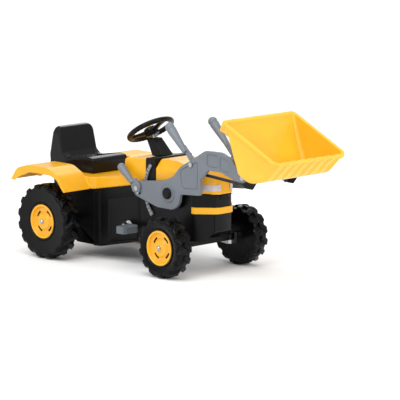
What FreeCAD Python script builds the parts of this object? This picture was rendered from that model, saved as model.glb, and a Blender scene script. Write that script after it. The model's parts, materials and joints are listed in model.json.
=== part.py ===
"""Ride-on pedal digger: a child's pedal tractor with a front loader, built as separate pieces.

Millimetres. +X is forward, +Y is left, +Z is up. The pieces are laid out from the point on the
ground below the rear axle, and moved back by ORIGIN_X as they are written, so that the origin is
the middle of the whole digger on the ground. The loader is drawn raised, which is its rest pose.
"""
import FreeCAD, Part
import math
import os

from FreeCAD import Vector

# Driving dimensions
ORIGIN_X = 436.0            # middle of the whole digger, ahead of the rear axle
WHEELBASE = 536.0
REAR_TYRE_R = 128.5
REAR_TYRE_W = 60.0
REAR_FACE_Y = 250.0         # outer face of a rear tyre
FRONT_TYRE_R = 101.5
FRONT_TYRE_W = 57.0
FRONT_FACE_Y = 206.0        # outer face of a front tyre
RIM_R = 59.0
REAR_LUGS = 18
FRONT_LUGS = 15
LUG_H = 8.0
AXLE_R = 6.0
RUNNING_GAP = 0.05          # radial clearance of a shaft in its hole
SEAT_GAP = 0.15             # gap between round faces of pieces that are fixed together
WALL = 4.0                  # moulded wall thickness
BODY_HALF = 85.0            # half width of the hood and of the front of the lower body
TUB_HALF = 116.0            # half width of the lower body beside the rear wheels
DECK_HALF = 131.0           # half width of the seat deck, where the fenders start
FENDER_Y = 252.0            # outer edge of a fender
NOSE_X = 640.0              # front of the hood
CHIN_X = 635.0              # front of the lower body
SEAT_HALF = 80.0
SEAT_PAN_Z = 318.0          # the flat pan that the rider sits on
SEAT_BOLTS = [(-78, -45), (-78, 45), (30, -45), (30, 45)]
HUB_X = 479.0               # loader pivot
HUB_Z = 268.0
HUB_SHAFT_R = 8.0
ARM_IN = 97.0               # inner face of a loader arm
ARM_OUT = 110.0
LATCH_PIN = (-146.0, 0.0)   # from the loader pivot
PAWL = (-139.2, -14.6)
PAWL_OPEN = (-141.8, -16.0)
PAWL_R = 2.5
RACK_OUTER = 137.0          # the rack's radii, round the loader pivot
RACK_INNER = 126.0
CROSS_TUBE = (300.0, 112.0)
LEVER_PIN = (109.0, 108.0)
BUCKET_PIN = (352.0, 92.0)
LINK_DROP = 27.0            # the link's pins hang this far below the lever's and the bucket's pins
PIN_R = 5.0
BUCKET_HALF = 160.0
STEER_X = 277.0             # middle of the steering wheel
STEER_Z = 450.0
STEER_TILT = 33.0           # lean of the steering shaft from the vertical
STEER_R = 86.0
STEER_RIM_R = 9.5
SHAFT_R = 5.0
SHAFT_LENGTH = 389.0
STEER_CRANK = 30.0
KINGPIN_Y = 118.0
STEER_ARM = 40.0            # kingpin to tie rod
TIE_Z = 90.0
CRANK_X = 272.0
CRANK_Z = 134.0
CRANK_THROW = 60.0
SPINDLE_R = 5.0             # pedal spindle
CHAIN_Y = 30.0
CHAIN_PITCH = 10.0
CHAINRING_TEETH = 28
SPROCKET_TEETH = 20
CHAIN_H = 6.0

X_AXIS = Vector(1, 0, 0)
Y_AXIS = Vector(0, 1, 0)
Z_AXIS = Vector(0, 0, 1)
PLANES = {
    "xz": lambda a, b, at: Vector(a, at, b),
    "xy": lambda a, b, at: Vector(a, b, at),
    "yz": lambda a, b, at: Vector(at, a, b),
}
ALONG = {"xz": Y_AXIS, "xy": Z_AXIS, "yz": X_AXIS}


# Helpers
def corner(before, here, after, radius):
    """Start, middle and end of the arc that rounds one corner of an outline."""
    to_before = (before - here).normalize()
    to_after = (after - here).normalize()
    half = to_before.getAngle(to_after) / 2
    reach = radius / math.tan(half)
    bisector = (to_before + to_after).normalize()
    centre = here + bisector * (radius / math.sin(half))
    return here + to_before * reach, centre - bisector * radius, here + to_after * reach


def outline(points, plane, at=0.0):
    """Closed wire through (a, b) or (a, b, corner radius) points in one plane."""
    place = PLANES[plane]
    spots = [place(p[0], p[1], at) for p in points]
    radii = [p[2] if len(p) > 2 else 0.0 for p in points]
    count = len(points)
    edges = []
    ends = []
    for i in range(count):
        if radii[i] > 0:
            start, middle, end = corner(spots[i - 1], spots[i], spots[(i + 1) % count], radii[i])
            arc = Part.Arc(start, middle, end).toShape()
            ends.append((start, end, arc))
        else:
            ends.append((spots[i], spots[i], None))
    for i in range(count):
        if ends[i][2] is not None:
            edges.append(ends[i][2])
        following = ends[(i + 1) % count]
        if (following[0] - ends[i][1]).Length > 0.001:
            edges.append(Part.LineSegment(ends[i][1], following[0]).toShape())
    return Part.Wire(edges)


def slab(points, plane, low, high):
    """Solid between two parallel planes, with the outline given by points."""
    face = Part.Face(outline(points, plane, low))
    return face.extrude(ALONG[plane] * (high - low))


def turned(points):
    """Solid of revolution about the Y axis from (y, radius) points."""
    face = Part.Face(outline([(r, y, *rest) for y, r, *rest in points], "xy"))
    return face.revolve(Vector(0, 0, 0), Y_AXIS, 360)


def box(x0, x1, y0, y1, z0, z1):
    return Part.makeBox(x1 - x0, y1 - y0, z1 - z0, Vector(x0, y0, z0))


def rod_y(x, z, radius, y0, y1):
    return Part.makeCylinder(radius, y1 - y0, Vector(x, y0, z), Y_AXIS)


def rod(start, end, radius):
    return Part.makeCylinder(radius, (end - start).Length, start, end - start)


def moved(shape, x=0.0, y=0.0, z=0.0):
    copy = shape.copy()
    copy.translate(Vector(x, y, z))
    return copy


def upright_rods(places, radius, low, high):
    return [Part.makeCylinder(radius, high - low, Vector(x, y, low)) for x, y in places]


def mirrored(shape):
    """The same piece on the other side of the digger."""
    return shape.mirror(Vector(0, 0, 0), Y_AXIS)


def both(right):
    """The right piece and its mirror image, as two solids in one file."""
    return Part.makeCompound([right, mirrored(right)])


def joined(shapes):
    whole = shapes[0].fuse(shapes[1:]) if len(shapes) > 1 else shapes[0]
    return whole.removeSplitter()


def write(name, shape):
    """Write one piece, moved so that the origin is the middle of the digger."""
    placed = moved(shape, -ORIGIN_X)
    placed.exportStep(f"parts/{name}.step")
    if not placed.isValid():
        print("not valid:", name)
    bounds.add(placed.BoundBox)
    print(f"{name:22s} solids {len(placed.Solids)}  volume {placed.Volume:12.0f}")


def write_pair(name, right):
    write(f"{name}_right", right)
    write(f"{name}_left", mirrored(right))


# Wheels
def lug_ring(radius, width, lugs, phase):
    """Slab with one lug per pitch round its edge, turned by a part of a pitch."""
    pitch = 2 * math.pi / lugs
    points = []
    for i in range(lugs):
        for share, r in ((0.06, radius), (0.40, radius), (0.54, radius - LUG_H), (0.92, radius - LUG_H)):
            angle = (i + phase + share) * pitch
            points.append((r * math.cos(angle), r * math.sin(angle)))
    return slab(points, "xz", 0, width)


def tyre(radius, width, lugs):
    """Blow-moulded tyre from y = 0, its outer face, to y = width, sealed and hollow inside."""
    half = width / 2
    tread = joined([lug_ring(radius, half, lugs, 0), moved(lug_ring(radius, half, lugs, 0.5), y=half)])
    crown = turned([(0, 8), (0, radius - 7, 3), (5, radius, 4), (width - 5, radius, 4),
                    (width, radius - 7, 3), (width, 8)])
    rim_seat = turned([(-1, 0), (-1, RIM_R + SEAT_GAP), (24, RIM_R + SEAT_GAP), (24, 0)])
    air_r = radius - LUG_H - 6
    air = turned([(29, 20), (29, RIM_R + 6, 3), (6, RIM_R + 6, 3), (6, air_r, 8), (width - 5, air_r, 8),
                  (width - 5, 20)])
    bore = turned([(-1, 0), (-1, AXLE_R + RUNNING_GAP), (width + 1, AXLE_R + RUNNING_GAP), (width + 1, 0)])
    return tread.common(crown).cut(rim_seat).cut(bore).removeSplitter().cut(air)


def rim():
    """Dished hub cover that fills the tyre's outer recess; its bead stands at y = 0."""
    dish = turned([(1, RIM_R), (-2, RIM_R - 1.5, 1), (-2, RIM_R - 7, 2), (11, RIM_R - 13, 5),
                   (11, 27, 4), (4, 22, 3), (4, AXLE_R + 3), (0, AXLE_R + 3), (0, AXLE_R + 0.3),
                   (14, AXLE_R + 0.3), (14, RIM_R - 8, 4), (20, RIM_R)])
    slot = box(-13, 13, 0, 30, 36, 40)
    slots = []
    for turn in (52, 142, 232, 322):
        cutter = slot.copy()
        cutter.rotate(Vector(0, 0, 0), Y_AXIS, turn)
        slots.append(cutter)
    return dish.cut(slots)


def wheel(radius, width, lugs, face_y, x):
    """Tyre and rim of a wheel on the right side."""
    pieces = []
    for shape in (tyre(radius, width, lugs), rim()):
        pieces.append(moved(shape, x, -face_y, radius))
    return pieces


def nut(x, z, face_y):
    """Domed push nut with its flat face at face_y on the right side."""
    return moved(turned([(0, 0), (0, 8), (-3, 8, 1), (-7, 4, 3), (-7, 0)]), x, -face_y, z)


# Lower body
def split_line():
    """Side view of the joint between the black lower body and the yellow covers."""
    return [(-90, 262), (90, 262), (112, 241), (123, 241), (273, 268), (345, 296), (655, 269)]


def nose_plan(inset):
    """Plan of the body from the tub to the rounded nose, drawn in by an inset."""
    h = BODY_HALF - inset
    t = TUB_HALF - inset
    return [(-90 + inset, t), (130, t), (300, h + 5), (338, h), (CHIN_X - 62 - inset, h, 30),
            (CHIN_X - inset, 34, 36), (CHIN_X - inset, -34, 36), (CHIN_X - 62 - inset, -h, 30),
            (338, -h), (300, -h - 5), (130, -t), (-90 + inset, -t)]


def lower_body():
    profile = split_line()[:-1] + [(635, 270.7), (631, 150, 20), (602, 113, 20), (420, 113), (335, 84),
                                   (150, 46), (31, 46), (-60, 80, 20), (-90, 120)]
    inside = [(-86, 258), (90, 258), (112, 237), (123, 237), (273, 263.8), (345, 291.8), (631, 266.9),
              (627, 150), (600, 60), (400, 30), (-100, 30)]
    outer = slab(nose_plan(0), "xy", 0, 400).common(slab(profile, "xz", -200, 200))
    inner = slab(nose_plan(WALL), "xy", 0, 400).common(slab(inside, "xz", -200, 200))
    body = outer.cut(inner)
    boss = rod_y(HUB_X, HUB_Z, 16, -BODY_HALF + 1, -BODY_HALF + 20)
    pillar = slab([(118, 46.5), (118, 232), (146, 236), (146, 47.5)], "xz", -TUB_HALF - 3, -TUB_HALF + 8)
    frame = slab([(176, 60), (176, 222), (318, 250), (318, 84)], "xz", -120, -80)
    frame = frame.cut(slab([(184, 66), (184, 214), (310, 240), (310, 88)], "xz", -121, -79))
    frame = frame.common(slab(nose_plan(-2.5), "xy", 0, 400)).cut(slab(nose_plan(1), "xy", 0, 400))
    extras = [boss, pillar, frame]
    body = joined([body] + extras + [mirrored(piece) for piece in extras])
    holes = [rod_y(HUB_X, HUB_Z, HUB_SHAFT_R + SEAT_GAP, -130, 130), rod_y(0, REAR_TYRE_R, 10, -130, 130),
             rod_y(CRANK_X, CRANK_Z, 10, -130, 130), steering_rod(9, 20, SHAFT_LENGTH)]
    return body.cut(holes).cut(upright_rods(SEAT_BOLTS, 3.2, 200, 290))


# Yellow covers
def fender_top(drop, start=(-162, 256), end=(118, 241)):
    """Side view of a fender's crown, lowered by a wall thickness."""
    x0, z0 = start
    x1, z1 = end
    return [(x0 + drop, z0), (-128, 301 - drop, 30), (-70, 317 - drop, 60), (30, 317 - drop, 60),
            (84, 292 - drop, 40), (x1 - drop, z1)]


def fender():
    """Right fender: an arched shell with a lip along its outer edge."""
    edge = [(112, 241), (76, 280, 24), (40, 293, 30), (-60, 291, 30), (-122, 268, 20), (-138, 256)]
    outer = slab(fender_top(0) + edge, "xz", -FENDER_Y, -DECK_HALF)
    inner = slab(fender_top(WALL) + [(108, 200), (-140, 200)], "xz", -FENDER_Y + WALL, -DECK_HALF - WALL)
    return outer.cut(inner)


def upper_body():
    """Seat deck, fenders, skirt and the console ahead of the rider, in one moulding."""
    under = [(345, 296), (273, 268), (123, 241), (112, 241), (90, 262), (-150, 262)]
    above = [(-158, 280, 6), (120, 282), (215, 292, 12), (250, 302, 8), (254, 362, 10), (345, 366)]
    outer = slab(under + above, "xz", -200, 200)
    inside = [(342, 270), (342, 361.8), (258, 358), (254, 298), (215, 288), (120, 278), (-154, 276),
              (-154, 262 + WALL), (-94, 262 + WALL), (-94, 230)]
    plan = [(-162, DECK_HALF), (112, DECK_HALF), (130, TUB_HALF + 1), (300, BODY_HALF + 6), (345, BODY_HALF),
            (345, -BODY_HALF), (300, -BODY_HALF - 6), (130, -TUB_HALF - 1), (112, -DECK_HALF),
            (-162, -DECK_HALF)]
    room = [(-150, 112), (112, 112), (298, BODY_HALF - 1), (341, BODY_HALF - 4), (341, -BODY_HALF + 4),
            (298, -BODY_HALF + 1), (112, -112), (-150, -112)]
    shell = outer.common(slab(plan, "xy", 200, 400))
    cavity = slab(inside, "xz", -200, 200).common(slab(room, "xy", 200, 400))
    side = fender()
    body = joined([shell, side, mirrored(side)]).cut(cavity)
    holes = [steering_rod(9, 20, SHAFT_LENGTH)] + upright_rods(SEAT_BOLTS, 3.2, 200, 290)
    return body.cut(holes)


def hood_plan(inset):
    h = BODY_HALF - inset
    return [(391 + inset, h), (NOSE_X - 68 - inset, h, 38), (NOSE_X - inset, 36, 38),
            (NOSE_X - inset, -36, 38), (NOSE_X - 68 - inset, -h, 38), (391 + inset, -h)]


def hood():
    floor = [(NOSE_X, 270.3), (391, 292)]
    profile = floor + [(391, 370, 8), (470, 369, 200), (586, 352, 70), (634, 324, 34)]
    inside = [(NOSE_X, 262), (395, 280), (395, 366), (470, 365), (584, 348), (630, 319)]
    outer = slab(hood_plan(0), "xy", 200, 400).common(slab(profile, "xz", -100, 100))
    inner = slab(hood_plan(WALL), "xy", 200, 400).common(slab(inside, "xz", -100, 100))
    chamfer = slab([(BODY_HALF + 1, 338), (BODY_HALF + 1, 380), (50, 380)], "yz", 380, 660)
    shell = outer.cut([chamfer, mirrored(chamfer)])
    inner = inner.cut([moved(chamfer, y=-WALL, z=-WALL), moved(mirrored(chamfer), y=WALL, z=-WALL)])
    vents = [box(520 + 18 * i, 526 + 18 * i, -30, 30, 340, 380) for i in range(4)]
    return shell.cut(inner).cut(vents).cut(rod_y(HUB_X, HUB_Z, 28, -120, 120))


def headlight():
    """Generic lamp panel on the right corner of the nose."""
    skin = slab(hood_plan(-1.5), "xy", 284, 306).cut(slab(hood_plan(0), "xy", 283, 307))
    return skin.common(box(NOSE_X - 54, NOSE_X + 5, -80, -22, 280, 310))


def bumper_strip():
    skin = slab(nose_plan(-5), "xy", 207, 229).cut(slab(nose_plan(-SEAT_GAP), "xy", 200, 240))
    return skin.common(box(CHIN_X - 66, CHIN_X + 20, -100, 100, 200, 240))


def dash_cowl():
    """Black frame between the console and the hood."""
    profile = [(345.2, 296.2), (345.2, 370, 6), (390.8, 374, 6), (390.8, 292.3)]
    inside = [(349, 290), (349, 366), (387, 369.5), (387, 288)]
    outer = slab(profile, "xz", -BODY_HALF - 2, BODY_HALF + 2)
    inner = slab(inside, "xz", -BODY_HALF + 2, BODY_HALF - 2)
    return outer.cut(inner).cut(steering_rod(9, 20, SHAFT_LENGTH))


# Seat
def seat():
    profile = [(72, 281.9, 6), (74, 334, 14), (40, 338, 60), (-60, 322, 26), (-84, 340, 10), (-106, 424, 10),
               (-130, 428, 8), (-152, 330, 20), (-150, 280.3, 6)]
    hollow = [(40, 350), (38, SEAT_PAN_Z, 12), (-64, SEAT_PAN_Z, 18), (-80, 336, 20), (-104, 412), (-60, 440)]
    body = slab(profile, "xz", -SEAT_HALF, SEAT_HALF)
    bowl = slab(hollow, "xz", -SEAT_HALF + 20, SEAT_HALF - 20)
    front_view = slab([(-SEAT_HALF, 270), (SEAT_HALF, 270), (SEAT_HALF, 429, 28), (-SEAT_HALF, 429, 28)],
                      "yz", -170, 100)
    cavity = slab([(64, 279), (64, 312), (-60, 310), (-92, 312), (-118, 400), (-120, 400), (-142, 330),
                   (-142, 279)], "xz", -SEAT_HALF + 8, SEAT_HALF - 8)
    shell = body.common(front_view).cut([bowl, cavity])
    posts = [post.common(body) for post in upright_rods(SEAT_BOLTS, 9, 280, 350)]
    return joined([shell] + posts).cut(bowl).cut(upright_rods(SEAT_BOLTS, 3.2, 200, 290))


def seat_bolts():
    """Bolts up through both bodies into the posts under the seat."""
    shanks = upright_rods(SEAT_BOLTS, 2.9, 255, 288)
    heads = upright_rods(SEAT_BOLTS, 6.5, 253.8, 257.8)
    return Part.makeCompound([shank.fuse(head).removeSplitter() for shank, head in zip(shanks, heads)])


# Steering
def steer_point(along, side=0.0):
    """A point on the steering shaft, or beside it to the rear and down."""
    tilt = math.radians(STEER_TILT)
    return Vector(STEER_X + along * math.sin(tilt) - side * math.cos(tilt), 0,
                  STEER_Z - along * math.cos(tilt) - side * math.sin(tilt))


def steering_rod(radius, start, end):
    return rod(steer_point(start), steer_point(end), radius)


def on_shaft(shape, along):
    """Carry a piece from the origin, where its axis is +Z, on to the steering shaft."""
    copy = shape.copy()
    copy.rotate(Vector(0, 0, 0), Y_AXIS, -STEER_TILT)
    point = steer_point(along)
    copy.translate(point)
    return copy


def steering_wheel():
    ring = Part.makeTorus(STEER_R - STEER_RIM_R, STEER_RIM_R)
    hub = Part.makeCylinder(25, 28, Vector(0, 0, -22))
    pieces = [ring, hub]
    for turn in (0, 130, 230):
        spoke = box(12, STEER_R - STEER_RIM_R, -16, 16, -9, -1)
        spoke.rotate(Vector(0, 0, 0), Z_AXIS, turn)
        pieces.append(spoke)
    button_seat = Part.makeCylinder(17.3, 12, Vector(0, 0, -2.5))
    socket = Part.makeCylinder(SHAFT_R + SEAT_GAP, 20, Vector(0, 0, -23))
    return on_shaft(joined(pieces).cut([button_seat, socket]), 0)


def horn_button():
    cap = Part.makeCylinder(16.8, 6, Vector(0, 0, 1.5))
    return on_shaft(cap.fuse(Part.makeCone(16.8, 12, 2.5, Vector(0, 0, 7.5))).removeSplitter(), 0)


def steering_shaft():
    """Shaft with a flat crank at its foot, and the pin that moves the tie rod."""
    straight = steering_rod(SHAFT_R, 3.2, SHAFT_LENGTH - 5)
    web = on_shaft(box(-STEER_CRANK - 7, 7, -7, 7, -5, 5), SHAFT_LENGTH - 5)
    pin = rod(steer_point(SHAFT_LENGTH - 5, STEER_CRANK), steer_point(SHAFT_LENGTH + 22, STEER_CRANK), 4)
    return joined([straight, web, pin])


def level_rectangle(x, z, half_x, half_y):
    """Closed wire, level, about the point (x, 0, z)."""
    corners = [(x - half_x, -half_y), (x + half_x, -half_y), (x + half_x, half_y), (x - half_x, half_y)]
    return outline(corners, "xy", z)


def column_shroud():
    """Tapered post that the steering shaft comes out of, standing on the console and the dash."""
    top_point = steer_point(30)
    post = Part.makeLoft([level_rectangle(340, 366.4, 28, 26),
                          level_rectangle(top_point.x, top_point.z, 19, 20)], True)
    top_cut = on_shaft(box(-80, 80, -80, 80, 0, 60), 28)
    foot = slab([(344.9, 360), (344.9, 370.5), (392, 374.6), (392, 360)], "xz", -60, 60)
    return post.cut([top_cut, foot]).cut(steering_rod(SHAFT_R + 1, 0, 200))


def shaft_bearing():
    """Cross plate inside the lower body that carries the foot of the steering shaft."""
    plate = on_shaft(box(-26, 26, -BODY_HALF + WALL, BODY_HALF - WALL, -6, 6), 340)
    return plate.cut(steering_rod(SHAFT_R + RUNNING_GAP, 250, 390))


def front_axle_beam():
    beam = box(WHEELBASE - 15, WHEELBASE + 15, -106, 106, 91, 112.8)
    kingpins = [(WHEELBASE, -KINGPIN_Y), (WHEELBASE, KINGPIN_Y)]
    eyes = upright_rods(kingpins, 14, 91, 112.8)
    bores = upright_rods(kingpins, PIN_R + RUNNING_GAP, 70, 130)
    return joined([beam] + eyes).cut(bores)


def knuckle():
    """Right kingpin, stub axle and steering arm."""
    x = WHEELBASE
    pin = Part.makeCylinder(PIN_R, 40, Vector(x, -KINGPIN_Y, 80))
    cap = Part.makeCylinder(9, 5, Vector(x, -KINGPIN_Y, 113.2))
    foot = Part.makeCylinder(14, 12, Vector(x, -KINGPIN_Y, 78.6))
    plate = box(x - 11, x + 11, -146, -KINGPIN_Y, 78.6, 90.6)
    block = box(x - 11, x + 11, -146, -134, 78.6, 114)
    stub = rod_y(x, FRONT_TYRE_R, AXLE_R, -FRONT_FACE_Y - 3, -140)
    arm = box(x - STEER_ARM, x, -KINGPIN_Y - 8, -KINGPIN_Y + 8, 78.6, 86)
    eye = Part.makeCylinder(8, 7.4, Vector(x - STEER_ARM, -KINGPIN_Y, 78.6))
    post = Part.makeCylinder(4, 22, Vector(x - STEER_ARM, -KINGPIN_Y, 80))
    return joined([pin, cap, foot, plate, block, stub, arm, eye, post])


def tie_rod():
    """Bar that joins the steering arms, with short slots for its pins."""
    x = WHEELBASE - STEER_ARM
    bar = box(x - 6, x + 6, -KINGPIN_Y, KINGPIN_Y, TIE_Z - 3.5, TIE_Z + 4.5)
    tongue_x = steer_point(SHAFT_LENGTH + 8, STEER_CRANK).x
    tongue = box(tongue_x - 20, x, -14, 14, TIE_Z - 3.5, TIE_Z + 4.5)
    pads = [box(x - 11, x + 15, y - 10, y + 10, TIE_Z - 3.5, TIE_Z + 4.5) for y in (-KINGPIN_Y, KINGPIN_Y)]
    cuts = [box(x - 4.6, x + 8.2, y - 4.8, y + 4.8, TIE_Z - 10, TIE_Z + 10) for y in (-KINGPIN_Y, KINGPIN_Y)]
    cuts.append(box(tongue_x - 14, tongue_x + 16, -5.2, 5.2, TIE_Z - 10, TIE_Z + 10))
    return joined([bar, tongue] + pads).cut(cuts)


# Pedal drive
def bush(x, z, half):
    """Flanged bush in the right wall of the lower body."""
    body = rod_y(x, z, 9.8, -half - 2, -half + 14)
    flange = rod_y(x, z, 14, -half - 4, -half - 0.2)
    return body.fuse(flange).cut(rod_y(x, z, AXLE_R + RUNNING_GAP, -200, 0)).removeSplitter()


def tub_half_at(x):
    """Half width of the lower body at a distance ahead of the rear axle."""
    if x < 130:
        return TUB_HALF
    share = (x - 130) / (300 - 130)
    return TUB_HALF + (BODY_HALF + 5 - TUB_HALF) * share


def bushes(x, z):
    return both(bush(x, z, tub_half_at(x - 14)))


def toothed_wheel(teeth):
    """Sprocket about the Y axis, 5 thick, with lightening holes."""
    pitch_r = teeth * CHAIN_PITCH / (2 * math.pi)
    root_r = pitch_r - 3
    tooth = ((0.10, pitch_r), (0.30, pitch_r + 0.6), (0.50, pitch_r), (0.60, root_r), (0.95, root_r))
    points = []
    for i in range(teeth):
        for share, r in tooth:
            angle = 2 * math.pi * (i + share) / teeth
            points.append((r * math.cos(angle), r * math.sin(angle)))
    disc = slab(points, "xz", CHAIN_Y - 2.5, CHAIN_Y + 2.5)
    hub = rod_y(0, 0, 13, CHAIN_Y - 10, CHAIN_Y + 10)
    holes = []
    for i in range(5):
        angle = 2 * math.pi * i / 5
        r = pitch_r * 0.62
        holes.append(rod_y(r * math.cos(angle), r * math.sin(angle), pitch_r * 0.13, 0, 60))
    return joined([disc, hub]).cut(holes).cut(rod_y(0, 0, AXLE_R + SEAT_GAP, -60, 60))


def belt_outline(front_r, rear_r):
    """Closed loop round the chainring and the rear sprocket."""
    span_x = CRANK_X
    span_z = CRANK_Z - REAR_TYRE_R
    span = math.hypot(span_x, span_z)
    lean = math.atan2(span_z, span_x)
    wrap = math.asin((front_r - rear_r) / span)
    up = lean + math.pi / 2 + wrap
    down = lean - math.pi / 2 - wrap

    def at(x, z, r, angle):
        return Vector(x + r * math.cos(angle), 0, z + r * math.sin(angle))

    front_up = at(CRANK_X, CRANK_Z, front_r, up)
    front_down = at(CRANK_X, CRANK_Z, front_r, down)
    rear_up = at(0, REAR_TYRE_R, rear_r, up)
    rear_down = at(0, REAR_TYRE_R, rear_r, down)
    edges = [Part.LineSegment(rear_up, front_up).toShape(),
             Part.Arc(front_up, at(CRANK_X, CRANK_Z, front_r, lean), front_down).toShape(),
             Part.LineSegment(front_down, rear_down).toShape(),
             Part.Arc(rear_down, at(0, REAR_TYRE_R, rear_r, lean + math.pi), rear_up).toShape()]
    return Part.Wire(edges)


def drive_chain():
    """Chain loop, a little clear of both toothed wheels."""
    front_r = CHAINRING_TEETH * CHAIN_PITCH / (2 * math.pi) + 1.2
    rear_r = SPROCKET_TEETH * CHAIN_PITCH / (2 * math.pi) + 1.2
    loops = []
    for extra in (CHAIN_H, 0):
        face = Part.Face(belt_outline(front_r + extra, rear_r + extra))
        loops.append(moved(face.extrude(Y_AXIS * 8), y=CHAIN_Y - 4))
    return loops[0].cut(loops[1])


def crank(direction):
    """Right crank arm with its pedal spindle, pointing forward or back."""
    end_x = CRANK_X + direction * CRANK_THROW
    arm = joined([rod_y(CRANK_X, CRANK_Z, 14, -122, -115), rod_y(end_x, CRANK_Z, 11, -122, -115),
                  box(min(CRANK_X, end_x), max(CRANK_X, end_x), -122, -115, CRANK_Z - 9, CRANK_Z + 9)])
    spindle = rod_y(end_x, CRANK_Z, SPINDLE_R, -192, -121)
    return joined([arm, spindle]).cut(rod_y(CRANK_X, CRANK_Z, AXLE_R + SEAT_GAP, -140, -100))


def pedal(direction):
    """Ribbed block on a spindle, with narrower ends."""
    x = CRANK_X + direction * CRANK_THROW
    block = slab([(-125, 15, 3), (-134, 22, 5), (-182, 22, 5), (-195, 16, 3), (-195, -16, 3), (-182, -22, 5),
                  (-134, -22, 5), (-125, -15, 3)], "yz", 0, 24)
    block.rotate(Vector(0, 0, 0), Y_AXIS, 90)
    block = moved(block, x, 0, CRANK_Z + 12)
    grooves = [box(x - 30, x + 30, y - 2, y + 2, CRANK_Z + side * 12 - 1.5, CRANK_Z + side * 12 + 1.5)
               for y in (-142, -152, -162, -172) for side in (-1, 1)]
    return block.cut(grooves).cut(rod_y(x, CRANK_Z, SPINDLE_R + RUNNING_GAP, -192.3, -110))


# Loader
def from_hub(spot):
    return HUB_X + spot[0], HUB_Z + spot[1]


def arm_outline():
    """Side view of a loader arm from its latch pin to its bucket end, about the loader pivot."""
    return [(-168, -25, 20), (-168, 22, 19), (-20, 40, 30), (22, 58, 30), (56, 94, 30), (110, 124, 60),
            (176, 162, 30), (250, 164, 40), (300, 146, 30), (330, 112, 10), (367, 107, 15), (367, 77, 15),
            (318, 77, 20), (250, 98, 40), (190, 98, 14), (151, 60, 12), (152, 9, 8), (58, 2, 10),
            (48, -54, 46), (-52, -54, 40)]


def loader_arm():
    spots = [(x + HUB_X, z + HUB_Z, r) for x, z, r in arm_outline()]
    arm = slab(spots, "xz", -ARM_OUT, -ARM_IN)
    ring = rod_y(HUB_X, HUB_Z, 31, -ARM_OUT - 2.5, -ARM_OUT + 1)
    pocket = [(186, 152, 6), (238, 152, 6), (238, 112, 6), (186, 112, 6)]
    inner_pocket = [(246, 150, 6), (286, 140, 8), (292, 98, 6), (246, 108, 6)]
    web = [(58, 84, 14), (108, 108, 20), (140, 122, 6), (140, 30, 8), (66, 24, 20)]
    cuts = [slab([(x + HUB_X, z + HUB_Z, r) for x, z, r in shape], "xz", -ARM_OUT - 1, -ARM_OUT + depth)
            for shape, depth in ((pocket, 3), (inner_pocket, 3), (web, 2))]
    cuts.append(rod_y(HUB_X, HUB_Z, HUB_SHAFT_R + RUNNING_GAP, -130, -80))
    for spot, radius in ((LATCH_PIN, PIN_R + SEAT_GAP), (LEVER_PIN, PIN_R + SEAT_GAP),
                         (BUCKET_PIN, PIN_R + SEAT_GAP)):
        x, z = from_hub(spot)
        cuts.append(rod_y(x, z, radius, -130, -80))
    for spot in (PAWL, PAWL_OPEN):
        x, z = from_hub(spot)
        cuts.append(rod_y(x, z, 4, -130, -80))
    x, z = from_hub(CROSS_TUBE)
    cuts.append(rod_y(x, z, 8 + SEAT_GAP, -106, -80))
    return arm.fuse(ring).removeSplitter().cut(cuts)


def grip(start, end, y, thin, thick):
    """Round handle that swells towards its far end, with a domed tip."""
    way = end - start
    tip = Part.makeSphere(thick, end - way.normalize() * (thick * 0.4))
    length = (end - start).Length - thick
    shaft = Part.makeCone(thin, thick, length, start, end - start)
    return moved(shaft.fuse(tip).removeSplitter(), y=y)


def latch_handle():
    """Right lifting handle, with a hole for its pawl."""
    x, z = from_hub(LATCH_PIN)
    way = math.radians(139)
    start = Vector(x + 26 * math.cos(way), 0, z + 26 * math.sin(way))
    end = Vector(x + 103 * math.cos(way), 0, z + 103 * math.sin(way))
    handle = grip(start, end, -118, 8, 14)
    plate = slab([(x - 20, z - 14, 10), (x + 12, z - 16, 10), (x + 16, z + 10, 12), (x - 8, z + 36, 8),
                  (x - 34, z + 20, 8)], "xz", -ARM_OUT - 8, -ARM_OUT - 0.4)
    pawl_x, pawl_z = from_hub(PAWL)
    holes = [rod_y(x, z, PIN_R + RUNNING_GAP, -130, -80), rod_y(pawl_x, pawl_z, PAWL_R + SEAT_GAP, -130, -80)]
    return joined([handle, plate]).cut(holes)


def latch_pawl():
    """Right pin that stands just off the curved rack, through a slot in the arm."""
    x, z = from_hub(PAWL)
    plate_face = -ARM_OUT - 8.2
    return joined([rod_y(x, z, PAWL_R, plate_face, -90.4), rod_y(x, z, 4, plate_face - 2, plate_face)])


def pivot_pins():
    """Rivets that the latch handles and the tip levers turn on."""
    pins = []
    for spot, low, high in ((LATCH_PIN, -ARM_OUT - 8.4, -ARM_IN + 2), (LEVER_PIN, -ARM_OUT - 0.2, -91.9)):
        x, z = from_hub(spot)
        pin = rod_y(x, z, PIN_R, low, high).fuse(rod_y(x, z, 8, low - 3, low)).removeSplitter()
        pins += [pin, mirrored(pin)]
    return Part.makeCompound(pins)


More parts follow.
